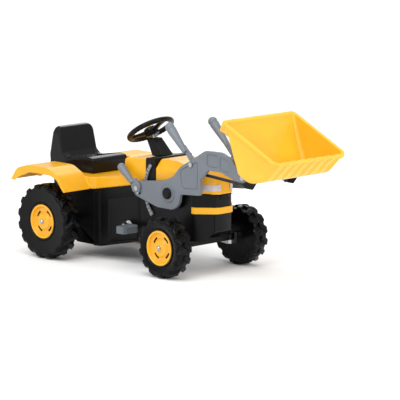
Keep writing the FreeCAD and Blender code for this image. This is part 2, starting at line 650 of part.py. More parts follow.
def latch_rack():
    """Curved toothed rack on the side of the body, round the loader pivot."""
    middle_r = (RACK_OUTER + RACK_INNER) / 2
    start, end = 142, 222
    ring = rod_y(HUB_X, HUB_Z, RACK_OUTER, -94, -88).cut(rod_y(HUB_X, HUB_Z, RACK_INNER, -95, -87))
    wedge = [(0, 0)]
    for angle in (start, (start + end) / 2, end):
        wedge.append((260 * math.cos(math.radians(angle)), 260 * math.sin(math.radians(angle))))
    spots = [(x + HUB_X, z + HUB_Z) for x, z in wedge]
    rack = ring.common(slab(spots, "xz", -96, -86))
    notches = []
    for i in range(1, 14):
        angle = math.radians(start + (end - start) * i / 14)
        for r, size in ((middle_r, 2.6), (RACK_OUTER + 0.5, 2.2)):
            notches.append(rod_y(HUB_X + r * math.cos(angle), HUB_Z + r * math.sin(angle), size, -96, -86))
    feet = []
    for angle, body_half in ((start + 4, BODY_HALF + 2), (end - 4, BODY_HALF)):
        a = math.radians(angle)
        x, z = HUB_X + middle_r * math.cos(a), HUB_Z + middle_r * math.sin(a)
        feet.append(rod_y(x, z, 5, -93.9, -body_half - 0.2))
    return joined([rack.cut(notches)] + feet)


def tip_lever():
    """Right tipping lever: a grip above the arm and a short arm below that drives the link."""
    x, z = from_hub(LEVER_PIN)
    way = math.radians(134.7)
    start = Vector(x + 52 * math.cos(way), 0, z + 52 * math.sin(way))
    end = Vector(x + 164 * math.cos(way), 0, z + 164 * math.sin(way))
    blade = slab([(x - 9, z - LINK_DROP - 9, 8), (x + 9, z - LINK_DROP - 9, 8), (x + 13, z + 8, 10),
                  (x - 44, z + 62, 4), (x - 58, z + 48, 4), (x - 11, z, 10)], "xz", -96.5, -92)
    handle = grip(start, end, -99, 9, 16)
    return joined([blade, handle]).cut([rod_y(x, z, PIN_R + RUNNING_GAP, -130, -80),
                                        rod_y(x, z - LINK_DROP, 3 + RUNNING_GAP, -130, -80)])


def tip_link():
    """Right push rod from the tip lever to the bucket, with a pin at its rear end."""
    x0, z0 = from_hub((LEVER_PIN[0], LEVER_PIN[1] - LINK_DROP))
    x1, z1 = from_hub((BUCKET_PIN[0], BUCKET_PIN[1] - LINK_DROP))
    bar = slab([(x0, z0 - 5), (x1, z1 - 5), (x1, z1 + 5), (x0, z0 + 5)], "xz", -91.6, -87.2)
    ends = [rod_y(x, z, 9, -91.6, -87.2) for x, z in ((x0, z0), (x1, z1))]
    pin = rod_y(x0, z0, 3, -96.4, -88)
    return joined([bar, pin] + ends).cut(rod_y(x1, z1, 3.5, -100, -80))


def bucket_outline(inset):
    """Side view of the bucket, about the loader pivot, drawn in by a wall thickness."""
    rim_rear = (316.0, 280.0)
    rim_front = (555.0, 166.0)
    return [rim_rear, (340 + inset * 0.6, 196, 30), (372 + inset, 110 + inset * 0.6, 40),
            (420 + inset * 0.4, 88 + inset, 30), (476 - inset * 0.4, 90 + inset, 20), rim_front]


def along_rim(share, depth):
    """A point that lies part way along the bucket's rim line, and below it by a depth."""
    rear = Vector(HUB_X + 316, 0, HUB_Z + 280)
    front = Vector(HUB_X + 555, 0, HUB_Z + 166)
    way = (front - rear)
    down = Vector(way.z, 0, -way.x).normalize()
    return rear + way * share + down * depth


def bucket():
    spots = [(p[0] + HUB_X, p[1] + HUB_Z, *p[2:]) for p in bucket_outline(0)]
    outer = slab(spots, "xz", -BUCKET_HALF, BUCKET_HALF)
    inner_spots = [(p[0] + HUB_X, p[1] + HUB_Z, *p[2:]) for p in bucket_outline(4)]
    rear, front = along_rim(0.02, -30), along_rim(0.985, -30)
    inner_spots[0] = (inner_spots[0][0] + 5, inner_spots[0][1] - 1)
    inner_spots[-1] = (inner_spots[-1][0] - 5.5, inner_spots[-1][1] + 1)
    inner_spots += [(front.x, front.z), (rear.x, rear.z)]
    inner = slab(inner_spots, "xz", -BUCKET_HALF + 4, BUCKET_HALF - 4)
    rim_rear, rim_front = along_rim(0, 0), along_rim(1, 0)
    low_rear, low_front = along_rim(0, 9), along_rim(1, 5)
    lip = slab([(rim_rear.x, rim_rear.z), (rim_front.x, rim_front.z), (low_front.x, low_front.z),
                (low_rear.x, low_rear.z)], "xz", -BUCKET_HALF - 7, -BUCKET_HALF + 1)
    ear = slab([(rim_rear.x - 9, rim_rear.z, 4), (rim_rear.x + 8, rim_rear.z, 2),
                (rim_rear.x + 16, rim_rear.z - 48, 4), (rim_rear.x - 9, rim_rear.z - 34, 6)],
               "xz", -BUCKET_HALF - 7, BUCKET_HALF + 7)
    ear = ear.cut(inner)
    teeth = []
    for i in range(8):
        y = -BUCKET_HALF + 20 + i * (2 * BUCKET_HALF - 40) / 7
        a, b, c = along_rim(0.985, 2), along_rim(0.70, 92), along_rim(0.90, 86)
        teeth.append(slab([(a.x, a.z), (c.x, c.z), (b.x, b.z)], "xz", y - 5, y + 5))
    whole = joined([outer, ear, lip, mirrored(lip)] + teeth).cut(inner)
    return whole.removeSplitter()


def bucket_bracket():
    """Right black bracket between an arm's end and the back of the bucket."""
    x, z = from_hub(BUCKET_PIN)
    spots = [(x - 13, z + 13, 10), (x + 14, z + 15, 4), (x + 44, z + 50, 3), (x + 66, z + 10, 3),
             (x + 30, z - LINK_DROP - 10, 6), (x - 9, z - LINK_DROP - 9, 8)]
    plate = slab(spots, "xz", -96.4, -92)
    spots = [(p[0] + HUB_X, p[1] + HUB_Z, *p[2:]) for p in bucket_outline(0)]
    shape = slab(spots, "xz", -BUCKET_HALF, BUCKET_HALF)
    post = rod_y(x, z - LINK_DROP, 3, -96, -87.4)
    flange = slab([(x + 10, z + 32), (x + 60, z + 70), (x + 80, z), (x + 30, z - 30)], "xz", -96.4, -78)
    shell = slab([(p[0] + HUB_X, p[1] + HUB_Z, *p[2:]) for p in bucket_outline(-4)], "xz", -96.4, -78)
    pad = flange.common(shell)
    whole = joined([plate, post, pad]).cut(shape)
    return whole.cut(rod_y(x, z, PIN_R + RUNNING_GAP, -130, -60))


def bucket_pin():
    x, z = from_hub(BUCKET_PIN)
    head = rod_y(x, z, 9, -ARM_OUT - 4, -ARM_OUT - 0.2)
    return joined([rod_y(x, z, PIN_R, -ARM_OUT - 2, ARM_OUT + 2), head, mirrored(head)])


def cross_tube():
    x, z = from_hub(CROSS_TUBE)
    return rod_y(x, z, 8, -105.5, 105.5).cut(rod_y(x, z, 6.4, -120, 120))


def hub_spacers():
    """Rings on the loader's shaft that keep its arms clear of the body."""
    ring = rod_y(HUB_X, HUB_Z, 26, -ARM_IN + 0.5, -BODY_HALF - 0.2)
    return both(ring.cut(rod_y(HUB_X, HUB_Z, HUB_SHAFT_R + SEAT_GAP, -130, -60)))


def axle_spacer():
    """Tube on the rear axle between the right bush and the right tyre."""
    tube = rod_y(0, REAR_TYRE_R, 12, -189.5, -TUB_HALF - 4.5)
    return tube.cut(rod_y(0, REAR_TYRE_R, AXLE_R + 0.3, -200, -100))


def axle_nut(x, z, face_y):
    """Push nut on the right end of an axle, bored for it."""
    bore = rod_y(x, z, AXLE_R + SEAT_GAP, -face_y - 3.2, -face_y + 6)
    return nut(x, z, face_y + 0.3).cut(bore)


def hub_cap():
    cap = turned([(0.2, 0), (0.2, 19), (-6, 19, 2), (-9, 14, 3), (-9, 0)])
    return moved(cap, HUB_X, -ARM_OUT - 3.2, HUB_Z)


def write_all():
    write("lower_body", lower_body())
    write("upper_body", upper_body())
    write("hood", hood())
    write("bumper_strip", bumper_strip())
    write("dash_cowl", dash_cowl())
    write("column_shroud", column_shroud())
    write("seat", seat())
    write("seat_bolts", seat_bolts())
    write_pair("headlight", headlight())
    write("front_axle_beam", front_axle_beam())
    write("shaft_bearing", shaft_bearing())
    write("hub_shaft", rod_y(HUB_X, HUB_Z, HUB_SHAFT_R, -ARM_OUT - 3, ARM_OUT + 3))
    write("hub_spacers", hub_spacers())
    write("hub_caps", both(hub_cap()))
    write("latch_racks", both(latch_rack()))
    write("axle_bushes", bushes(0, REAR_TYRE_R))
    write("crank_bushes", bushes(CRANK_X, CRANK_Z))
    write("axle_spacers", both(axle_spacer()))
    write("drive_chain", drive_chain())
    write("rear_axle", rod_y(0, REAR_TYRE_R, AXLE_R, -REAR_FACE_Y - 2, REAR_FACE_Y + 2))
    write("rear_sprocket", moved(toothed_wheel(SPROCKET_TEETH), 0, 0, REAR_TYRE_R))
    write("axle_nuts", both(axle_nut(0, REAR_TYRE_R, REAR_FACE_Y)))
    for end, radius, width, lugs, face_y, x in (
            ("rear", REAR_TYRE_R, REAR_TYRE_W, REAR_LUGS, REAR_FACE_Y, 0),
            ("front", FRONT_TYRE_R, FRONT_TYRE_W, FRONT_LUGS, FRONT_FACE_Y, WHEELBASE)):
        tyre_piece, rim_piece = wheel(radius, width, lugs, face_y, x)
        write_pair(f"tyre_{end}", tyre_piece)
        write_pair(f"rim_{end}", rim_piece)
    write("crank_axle", rod_y(CRANK_X, CRANK_Z, AXLE_R, -122, 122))
    write("crank_right", crank(1))
    write("crank_left", mirrored(crank(-1)))
    write("chainring", moved(toothed_wheel(CHAINRING_TEETH), CRANK_X, 0, CRANK_Z))
    write("pedal_right", pedal(1))
    write("pedal_left", mirrored(pedal(-1)))
    write("steering_wheel", steering_wheel())
    write("steering_shaft", steering_shaft())
    write("horn_button", horn_button())
    write("tie_rod", tie_rod())
    write_pair("knuckle", knuckle())
    write_pair("front_nut", axle_nut(WHEELBASE, FRONT_TYRE_R, FRONT_FACE_Y))
    write_pair("loader_arm", loader_arm())
    write("cross_tube", cross_tube())
    write("bucket_pin", bucket_pin())
    write_pair("latch_handle", latch_handle())
    write_pair("latch_pawl", latch_pawl())
    write("pivot_pins", pivot_pins())
    write_pair("tip_lever", tip_lever())
    write_pair("tip_link", tip_link())
    write("bucket", bucket())
    write("bucket_brackets", both(bucket_bracket()))


os.makedirs("parts", exist_ok=True)
bounds = FreeCAD.BoundBox()
write_all()
print("box", [round(value, 1) for value in (bounds.XMin, bounds.XMax, bounds.YMin, bounds.YMax,
                                            bounds.ZMin, bounds.ZMax)])
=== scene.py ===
import bpy
import bmesh
import json
import math
from mathutils import Matrix, Vector


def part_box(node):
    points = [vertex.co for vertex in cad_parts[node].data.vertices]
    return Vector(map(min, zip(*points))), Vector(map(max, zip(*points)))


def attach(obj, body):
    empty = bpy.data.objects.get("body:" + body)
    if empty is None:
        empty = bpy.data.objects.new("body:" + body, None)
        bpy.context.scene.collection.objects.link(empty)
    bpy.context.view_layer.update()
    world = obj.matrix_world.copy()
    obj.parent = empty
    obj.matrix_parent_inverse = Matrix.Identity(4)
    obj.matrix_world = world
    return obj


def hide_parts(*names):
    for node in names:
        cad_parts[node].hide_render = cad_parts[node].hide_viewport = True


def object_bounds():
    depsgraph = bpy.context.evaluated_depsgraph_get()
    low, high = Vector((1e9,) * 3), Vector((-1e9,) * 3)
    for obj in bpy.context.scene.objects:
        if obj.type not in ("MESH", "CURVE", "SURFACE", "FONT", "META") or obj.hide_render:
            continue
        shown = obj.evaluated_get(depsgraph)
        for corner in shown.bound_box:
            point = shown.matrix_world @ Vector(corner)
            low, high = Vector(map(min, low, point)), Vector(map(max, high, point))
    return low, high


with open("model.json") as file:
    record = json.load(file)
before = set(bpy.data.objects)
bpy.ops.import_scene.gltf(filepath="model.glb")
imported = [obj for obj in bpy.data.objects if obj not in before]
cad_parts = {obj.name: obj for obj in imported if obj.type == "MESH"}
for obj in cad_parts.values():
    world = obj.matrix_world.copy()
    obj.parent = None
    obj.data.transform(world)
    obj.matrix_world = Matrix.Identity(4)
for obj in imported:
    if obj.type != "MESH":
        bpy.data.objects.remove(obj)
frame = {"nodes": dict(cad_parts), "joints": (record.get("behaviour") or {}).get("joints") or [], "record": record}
cad_low, cad_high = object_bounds()
NODES = frame["nodes"]
JOINTS = {joint["name"]: joint for joint in frame["joints"]}
BODIES = frame["record"]["behaviour"]["bodies"]
BODY_OF = {node: body for body, nodes in BODIES.items() for node in nodes}
SLOT_OF = {part["node"]: part["material_slot"] for part in frame["record"]["subparts"]}
SIDES = ("right", "left")


# Camera and light
def look_at(location, target):
    return (target - location).to_track_quat("-Z", "Y").to_euler()


def make_camera():
    target = Vector((0.082, 0.0, 0.237))
    azimuth, elevation, distance = math.radians(46.06), math.radians(9.66), 9.995
    back = Vector((math.sin(azimuth) * math.cos(elevation), -math.cos(azimuth) * math.cos(elevation),
                   math.sin(elevation)))
    data = bpy.data.cameras.new("camera")
    data.lens = 269.2
    data.sensor_width = 36.0
    data.clip_end = 200.0
    camera = bpy.data.objects.new("camera", data)
    camera.location = target + back * distance
    camera.rotation_euler = look_at(camera.location, target)
    bpy.context.scene.collection.objects.link(camera)
    bpy.context.scene.camera = camera


def add_sun(name, strength, spread, direction):
    data = bpy.data.lights.new(name, "SUN")
    data.energy = strength
    data.angle = math.radians(spread)
    lamp = bpy.data.objects.new(name, data)
    lamp.rotation_euler = look_at(Vector(direction), Vector((0, 0, 0)))
    bpy.context.scene.collection.objects.link(lamp)


def add_softbox(name, power, size, location):
    data = bpy.data.lights.new(name, "AREA")
    data.energy = power
    data.size = size
    lamp = bpy.data.objects.new(name, data)
    lamp.location = location
    lamp.rotation_euler = look_at(Vector(location), Vector((0, 0, 0.2)))
    bpy.context.scene.collection.objects.link(lamp)


def make_light():
    world = bpy.data.worlds.new("studio")
    world.use_nodes = True
    background = world.node_tree.nodes["Background"]
    background.inputs["Color"].default_value = (1.0, 1.0, 1.0, 1.0)
    background.inputs["Strength"].default_value = 0.74
    bpy.context.scene.world = world
    bpy.context.scene.view_settings.view_transform = "Standard"
    add_sun("key", 1.35, 55, (0.3, -0.7, 1.9))
    add_softbox("near_box", 16, 0.7, (0.5, -2.2, 1.7))
    add_softbox("side_box", 14, 1.0, (2.2, 0.2, 1.0))
    add_softbox("back_box", 10, 1.2, (-1.6, 1.6, 1.6))


# Materials
def node_maker(tree):
    def add(kind, **settings):
        node = tree.nodes.new("ShaderNode" + kind)
        for key, value in settings.items():
            setattr(node, key, value)
        return node
    return add


def noise_value(tree, coords, scale, detail=3.0, stretch=None):
    """Output socket of a noise texture in the piece's own coordinates."""
    add = node_maker(tree)
    source = coords
    if stretch:
        mapping = add("Mapping")
        mapping.inputs["Scale"].default_value = stretch
        tree.links.new(coords, mapping.inputs["Vector"])
        source = mapping.outputs["Vector"]
    noise = add("TexNoise")
    noise.inputs["Scale"].default_value = scale
    noise.inputs["Detail"].default_value = detail
    tree.links.new(source, noise.inputs["Vector"])
    return noise.outputs["Fac"]


def remap(tree, socket, low, high, to_low, to_high):
    node = node_maker(tree)("MapRange")
    for name, value in (("From Min", low), ("From Max", high), ("To Min", to_low), ("To Max", to_high)):
        node.inputs[name].default_value = value
    tree.links.new(socket, node.inputs["Value"])
    return node.outputs["Result"]


def multiply(tree, first, second):
    node = node_maker(tree)("Math", operation="MULTIPLY")
    tree.links.new(first, node.inputs[0])
    tree.links.new(second, node.inputs[1])
    return node.outputs["Value"]


def mix_colour(tree, factor, first, second):
    node = node_maker(tree)("Mix", data_type="RGBA")
    tree.links.new(factor, node.inputs[0])
    for socket, value in ((node.inputs[6], first), (node.inputs[7], second)):
        if isinstance(value, tuple):
            socket.default_value = (*value, 1.0)
        else:
            tree.links.new(value, socket)
    return node.outputs[2]


CLOUD_SCALE = 11.0
PATCH_SCALE = 55.0
SCUFF_SCALE = 26.0
SCUFF_STRETCH = (1.0, 1.6, 1.3)
EDGE_FROM, EDGE_TO = 0.535, 0.63    # Pointiness where wear starts, and where it is full
BUMP_STRENGTH = 0.55
COAT_ROUGHNESS = 0.12


def finish_material(name, colour, worn, rough, grain, depth, metal=0.0, wear=0.5, shift=0.06, coat=0.0,
                    shine=0.5):
    """Moulded or plated surface: cloudy colour, worn edges, fine grain and scuffed, uneven gloss."""
    material = bpy.data.materials.new(name)
    material.use_nodes = True
    tree = material.node_tree
    shader = tree.nodes["Principled BSDF"]
    coords = node_maker(tree)("TexCoord").outputs["Object"]
    clouds = remap(tree, noise_value(tree, coords, CLOUD_SCALE), 0.32, 0.68, 0.0, 1.0)
    dark = tuple(c * (1.0 - shift) for c in colour)
    light = tuple(min(1.0, c * (1.0 + shift * 0.6)) for c in colour)
    base = mix_colour(tree, clouds, dark, light)
    pointiness = node_maker(tree)("NewGeometry").outputs["Pointiness"]
    edge = remap(tree, pointiness, EDGE_FROM, EDGE_TO, 0.0, wear)
    patches = remap(tree, noise_value(tree, coords, PATCH_SCALE, 5.0), 0.42, 0.66, 0.15, 1.0)
    worn_share = multiply(tree, edge, patches)
    tree.links.new(mix_colour(tree, worn_share, base, worn), shader.inputs["Base Color"])
    scuff_noise = noise_value(tree, coords, SCUFF_SCALE, 8.0, SCUFF_STRETCH)
    scuffs = remap(tree, scuff_noise, 0.36, 0.70, rough - 0.02, rough + 0.05)
    tree.links.new(scuffs, shader.inputs["Roughness"])
    bump = node_maker(tree)("Bump")
    bump.inputs["Strength"].default_value = BUMP_STRENGTH
    bump.inputs["Distance"].default_value = depth
    tree.links.new(noise_value(tree, coords, grain, 2.0), bump.inputs["Height"])
    tree.links.new(bump.outputs["Normal"], shader.inputs["Normal"])
    shader.inputs["Metallic"].default_value = metal
    shader.inputs["Specular IOR Level"].default_value = shine
    shader.inputs["Coat Weight"].default_value = coat
    shader.inputs["Coat Roughness"].default_value = COAT_ROUGHNESS
    return material


YELLOW = (0.84, 0.405, 0.008)
YELLOW_WORN = (0.92, 0.58, 0.10)
BUCKET_YELLOW = (0.88, 0.475, 0.022)
BUCKET_WORN = (0.95, 0.66, 0.16)
BLACK = (0.0030, 0.0030, 0.0034)
BLACK_WORN = (0.022, 0.022, 0.024)
TYRE = (0.0022, 0.0022, 0.0025)
GREY = (0.150, 0.168, 0.195)
GREY_WORN = (0.30, 0.32, 0.35)
# Colour, worn colour, roughness, grain scale, grain depth, and settings that aren't the usual ones
SHADES = {
    "yellow_shell": (YELLOW, YELLOW_WORN, 0.33, 900, 0.00003, dict(coat=0.08, wear=0.2, shine=0.35)),
    "yellow_rim": (YELLOW, YELLOW_WORN, 0.32, 900, 0.00006, dict(coat=0.15)),
    "yellow_bucket": (BUCKET_YELLOW, BUCKET_WORN, 0.32, 800, 0.00003, dict(coat=0.1, wear=0.3)),
    "black_shell": (BLACK, BLACK_WORN, 0.34, 1100, 0.00008, dict(shift=0.25, shine=0.17)),
    "seat_black": (BLACK, BLACK_WORN, 0.24, 1300, 0.00005, dict(shift=0.25, shine=0.22)),
    "wheel_black": (BLACK, BLACK_WORN, 0.28, 1500, 0.00005, dict(shift=0.25, shine=0.18)),
    "tyre_black": (TYRE, BLACK_WORN, 0.27, 700, 0.00006, dict(wear=0.5, shift=0.3, shine=0.13)),
    "arm_grey": (GREY, GREY_WORN, 0.38, 1000, 0.00008, dict()),
    "handle_grey": ((0.165, 0.186, 0.216), (0.33, 0.35, 0.38), 0.38, 1000, 0.00008, dict()),
    "rack_grey": ((0.24, 0.25, 0.27), (0.40, 0.41, 0.43), 0.42, 900, 0.00008, dict()),
    "pedal_grey": ((0.105, 0.120, 0.138), (0.26, 0.28, 0.30), 0.42, 1000, 0.00008, dict()),
    "nylon": ((0.62, 0.61, 0.56), (0.78, 0.77, 0.73), 0.45, 700, 0.00008, dict()),
    "lamp": ((0.50, 0.42, 0.44), (0.70, 0.62, 0.64), 0.22, 400, 0.00004, dict(coat=0.4)),
    "black_steel": ((0.006, 0.006, 0.007), (0.10, 0.10, 0.10), 0.40, 1600, 0.00006, dict(shine=0.3)),
    "steel": ((0.46, 0.46, 0.47), (0.72, 0.72, 0.73), 0.32, 2200, 0.00004, dict(metal=1.0)),
}
MATERIALS = {name: finish_material(name, *values[:5], **values[5]) for name, values in SHADES.items()}


# Mesh helpers
WELD_DISTANCE = 1e-5
FLAT_ANGLE = 0.8        # faces that turn by less than this are one flat face
ROUNDED_ANGLE = 34      # edges that turn by more than this are rounded
ALL_SMOOTH = 180


def link_mesh(name, mesh):
    piece = bpy.data.objects.new(name, mesh)
    bpy.context.scene.collection.objects.link(piece)
    return piece


def place(piece, node):
    """Give a finished piece its material and its body, and hide the CAD node that it stands for."""
    slot = SLOT_OF[node]
    piece.data.materials.clear()
    piece.data.materials.append(MATERIALS[slot])
    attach(piece, BODY_OF[node])
    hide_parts(node)
    return piece


def smooth_mesh(name, bm):
    mesh = bpy.data.meshes.new(name)
    bmesh.ops.recalc_face_normals(bm, faces=bm.faces)
    for face in bm.faces:
        face.smooth = True
    bm.to_mesh(mesh)
    bm.free()
    return mesh


def mesh_from(name, bm, sharp_angle=32):
    """Smooth mesh whose edges stay sharp where they turn by more than sharp_angle degrees."""
    mesh = smooth_mesh(name, bm)
    mesh.set_sharp_from_angle(angle=math.radians(sharp_angle))
    return mesh


def welded_shape(node):
    """The CAD node's own shape, with the points that its faces share joined."""
    bm = bmesh.new()
    bm.from_mesh(NODES[node].data)
    bmesh.ops.remove_doubles(bm, verts=bm.verts, dist=WELD_DISTANCE)
    return bm


def rounded_copy(node, width):
    """The CAD node's own shape with every sharp edge rounded, as a mould leaves it."""
    bm = welded_shape(node)
    bmesh.ops.dissolve_limit(bm, angle_limit=math.radians(FLAT_ANGLE), verts=bm.verts, edges=bm.edges)
    piece = link_mesh(f"{node}_moulded", mesh_from(f"{node}_moulded", bm))
    bevel = piece.modifiers.new("round", "BEVEL")
    bevel.width = width
    bevel.segments = 3
    bevel.limit_method = "ANGLE"
    bevel.angle_limit = math.radians(ROUNDED_ANGLE)
    bevel.use_clamp_overlap = False
    bevel.harden_normals = True
    return place(piece, node)


def soft_copy(node, voxel, rounds):
    """The CAD node's shape with all its edges softened, for a piece that is round all over."""
    bm = welded_shape(node)
    piece = link_mesh(f"{node}_moulded", mesh_from(f"{node}_moulded", bm, ALL_SMOOTH))
    remesh = piece.modifiers.new("even", "REMESH")
    remesh.mode = "VOXEL"
    remesh.voxel_size = voxel
    remesh.use_smooth_shade = True
    smooth = piece.modifiers.new("soften", "SMOOTH")
    smooth.factor = 0.5
    smooth.iterations = rounds
    return place(piece, node)


def step(value, low, high):
    """0 below low, 1 above high, and a smooth rise between them."""
    t = min(1.0, max(0.0, (value - low) / (high - low)))
    return t * t * (3 - 2 * t)


def join_rings(bm, rings):
    """Faces between each ring of vertices and the next, and from the last ring to the first."""
    for i, one in enumerate(rings):
        join_pair(bm, one, rings[(i + 1) % len(rings)])


def join_and_cap(bm, rings):
    """Faces between each ring of vertices and the next, with a face over each end."""
    for one, two in zip(rings, rings[1:]):
        join_pair(bm, one, two)
    bm.faces.new(list(reversed(rings[0])))
    bm.faces.new(rings[-1])


def join_pair(bm, one, two):
    count = len(one)
    for k in range(count):
        bm.faces.new((one[k], one[(k + 1) % count], two[(k + 1) % count], two[k]))


def outer_face(node):
    """A wheel part's middle, the way along Y that its outer face looks, and that face's Y."""
    low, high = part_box(node)
    centre = (low + high) / 2
    if centre.y < 0:
        return centre, -1.0, low.y
    return centre, 1.0, high.y


def round_axle(centre, radius, angle, y):
    """A point at a radius and an angle round a wheel's axle."""
    return centre.x + radius * math.cos(angle), y, centre.z + radius * math.sin(angle)


# Tyres
RIM_SEAT = 0.0595
BORE = 0.0065
LUG_RISE = 0.0085
LUG_CLEARANCE = 0.0005    # kept free between the lugs and the CAD tyre's radius
LUG_LEAN = 0.15           # sideways share of a lug's rise on the tyre's side
STEPS_PER_LUG = 20
CROWN_STEPS = 24
LUGS = {"rear": 16, "front": 14}


def tyre_profile(width, base):
    """(depth from the outer face, radius, share of a lug's rise) all round a tyre's section."""
    seat = [(0.024, BORE, 0), (0.024, RIM_SEAT, 0), (0.002, RIM_SEAT, 0), (0.0005, 0.0605, 0),
            (0.0005, 0.0635, 0), (0.0030, 0.0648, 0), (0.0030, 0.0665, 0), (0.0012, 0.0680, 0)]
    wall = base - 0.0120
    side = [(0.0012 - 0.0032 * share, 0.068 + (wall - 0.068) * share, 0) for share in (0.35, 0.7, 1.0)]
    shoulder = [(-0.0024, base - 0.0085, 0.35), (-0.0020, base - 0.0055, 0.80), (0.0, base - 0.0025, 1.0),
                (0.0035, base - 0.0006, 1.0), (0.0085, base, 1.0)]
    crown = []
    for i in range(CROWN_STEPS + 1):
        share = i / CROWN_STEPS
        crown.append((0.0125 + (width - 0.025) * share, base + 0.0006 * math.sin(math.pi * share), 1.0))
    far = [(width - depth, r, rise) for depth, r, rise in reversed(shoulder[2:])]
    back = [(width - 0.001, base - 0.006, 0.5), (width, base - 0.012, 0), (width, 0.030, 0),
            (width, BORE, 0)]
    return seat + side + shoulder + crown + far + back


def lug_height(turn, side):
    """Height of a chevron lug, from 0 to 1. turn counts pitches, and side runs from -1 to 1 across."""
    height = 0.0
    for half, offset in ((-1, 0.0), (1, 0.5)):
        reach = side * half
        if reach < -0.22:
            continue
        lean = 0.42 * max(0.0, reach)
        away = abs((turn - offset + lean + 0.5) % 1.0 - 0.5)
        half_width = 0.15 + 0.05 * max(0.0, reach)
        across = 1.0 - step(away, half_width, half_width + 0.15)
        along = step(reach, -0.20, -0.08)
        height = max(height, across * along)
    return height


def tyre(node, lugs):
    """Tyre turned about the wheel's axle, with chevron lugs over its tread and shoulders."""
    low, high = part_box(node)
    centre, outward, face_y = outer_face(node)
    radius = (high.z - low.z) / 2
    width = high.y - low.y
    base = radius - LUG_RISE - LUG_CLEARANCE
    bm = bmesh.new()
    rings = []
    count = lugs * STEPS_PER_LUG
    for depth, r, rise in tyre_profile(width, base):
        ring = []
        side = (depth / width) * 2 - 1
        lean = LUG_LEAN if r < base - 0.003 and rise > 0 else 0.0
        for k in range(count):
            angle = 2 * math.pi * k / count
            lift = LUG_RISE * rise * lug_height(k / STEPS_PER_LUG, side) if rise else 0.0
            out = lift * lean * (1 if side < 0 else -1)
            grown = r + lift * (1.0 - lean * 0.3)
            ring.append(bm.verts.new(round_axle(centre, grown, angle, face_y - outward * (depth - out))))
        rings.append(ring)
    join_rings(bm, rings)
    return place(link_mesh(f"{node}_moulded", mesh_from(f"{node}_moulded", bm, 42)), node)


# Rims
RIM_STEPS = 144
RIM_WALL = 0.0016
RIM_EDGE = 0.0004
RIM_SLOTS = (52, 142, 232, 322)
SLOT_HALF_TURN = 19
SLOT_INNER, SLOT_OUTER = 0.0340, 0.0410
# (depth from the outer face, radius) from the bead inwards to the hub
RIM_SECTION = ((0.0205, 0.0584), (0.0060, 0.0588), (0.0024, 0.0586), (0.0006, 0.0572),
               (0.0001, 0.0550), (0.0008, 0.0528), (0.0032, 0.0514), (0.0080, 0.0500),
               (0.0120, 0.0480), (0.0132, 0.0460), (0.0134, 0.0408), (0.0134, 0.0344),
               (0.0128, 0.0318), (0.0104, 0.0296), (0.0080, 0.0276), (0.0066, 0.0250),
               (0.0062, 0.0215), (0.0062, 0.0165), (0.0056, 0.0140), (0.0030, 0.0122),
               (0.0022, 0.0104), (0.0024, 0.0074))


def in_slot(radius, k):
    """Whether the rim is cut away at a radius, in the kth of its steps round."""
    turn = (k + 0.5) * 360 / RIM_STEPS
    nearest = min(abs((turn - slot + 180) % 360 - 180) for slot in RIM_SLOTS)
    return SLOT_INNER < radius < SLOT_OUTER and nearest < SLOT_HALF_TURN


def rim(node):
    """Dished rim with a rolled bead and four slots, turned about the wheel's axle."""
    centre, outward, face_y = outer_face(node)
    bm = bmesh.new()
    rings = []
    for depth, r in RIM_SECTION:
        ring = []
        for k in range(RIM_STEPS):
            angle = 2 * math.pi * k / RIM_STEPS
            ring.append(bm.verts.new(round_axle(centre, r, angle, face_y - outward * depth)))
        rings.append(ring)
    for i in range(len(RIM_SECTION) - 1):
        middle = (RIM_SECTION[i][1] + RIM_SECTION[i + 1][1]) / 2
        for k in range(RIM_STEPS):
            if in_slot(middle, k):
                continue
            after = (k + 1) % RIM_STEPS
            bm.faces.new((rings[i][k], rings[i][after], rings[i + 1][after], rings[i + 1][k]))
    piece = link_mesh(f"{node}_moulded", smooth_mesh(f"{node}_moulded", bm))
    shell = piece.modifiers.new("wall", "SOLIDIFY")
    shell.thickness = RIM_WALL
    shell.offset = outward
    edge = piece.modifiers.new("round", "BEVEL")
    edge.width = RIM_EDGE
    edge.segments = 2
    edge.limit_method = "ANGLE"
    edge.angle_limit = math.radians(50)
    return place(piece, node)


# Bucket
REAR_WALL = ((0.0, 0.0), (0.0655, 0.0578), (0.1293, 0.1237))
FRONT_WALL = ((0.0, 0.2648), (0.1026, 0.2262), (0.1285, 0.1765))
BUCKET_DEPTH = 0.1285
BUCKET_BEND = 0.93 * BUCKET_DEPTH    # where the walls start to curve into the floor
BUCKET_WALL = 0.004
RIM_DROP = 0.114          # the rim's front edge is this far below its rear edge
REAR_HEM_REACH = 0.009
SIDE_HEM_REACH = 0.007
HEM_LIP = 0.0044          # depth of the hem's lower lip, before the hem's own drop
FLOOR_ROUND = 0.0075      # depth of the curve from the walls into the floor
FLOOR_INSET = 0.010       # how far that curve goes in
INNER_LEVELS = 22
OUTER_LEVELS = 20
RIB_PITCH = 0.040
RIB_RISE = 0.0062
INNER_RIB_SHARE = 0.35
PANEL_RISE = 0.0016       # raised panel inside the rear wall


def on_line(line, depth):
    """Distance along the rim at a depth, on a wall given as (depth, distance) points."""
    for (d0, u0), (d1, u1) in zip(line, line[1:]):
        if depth <= d1 or (d1, u1) == line[-1]:
            return u0 + (u1 - u0) * (depth - d0) / (d1 - d0)


def wall_at(line, depth):
    """The same, averaged over a short height, so that the wall bends in a curve."""
    spread = 0.018
    heights = [min(max(depth + spread * k / 4, 0.0), BUCKET_DEPTH) for k in range(-4, 5)]
    return sum(on_line(line, height) for height in heights) / len(heights)


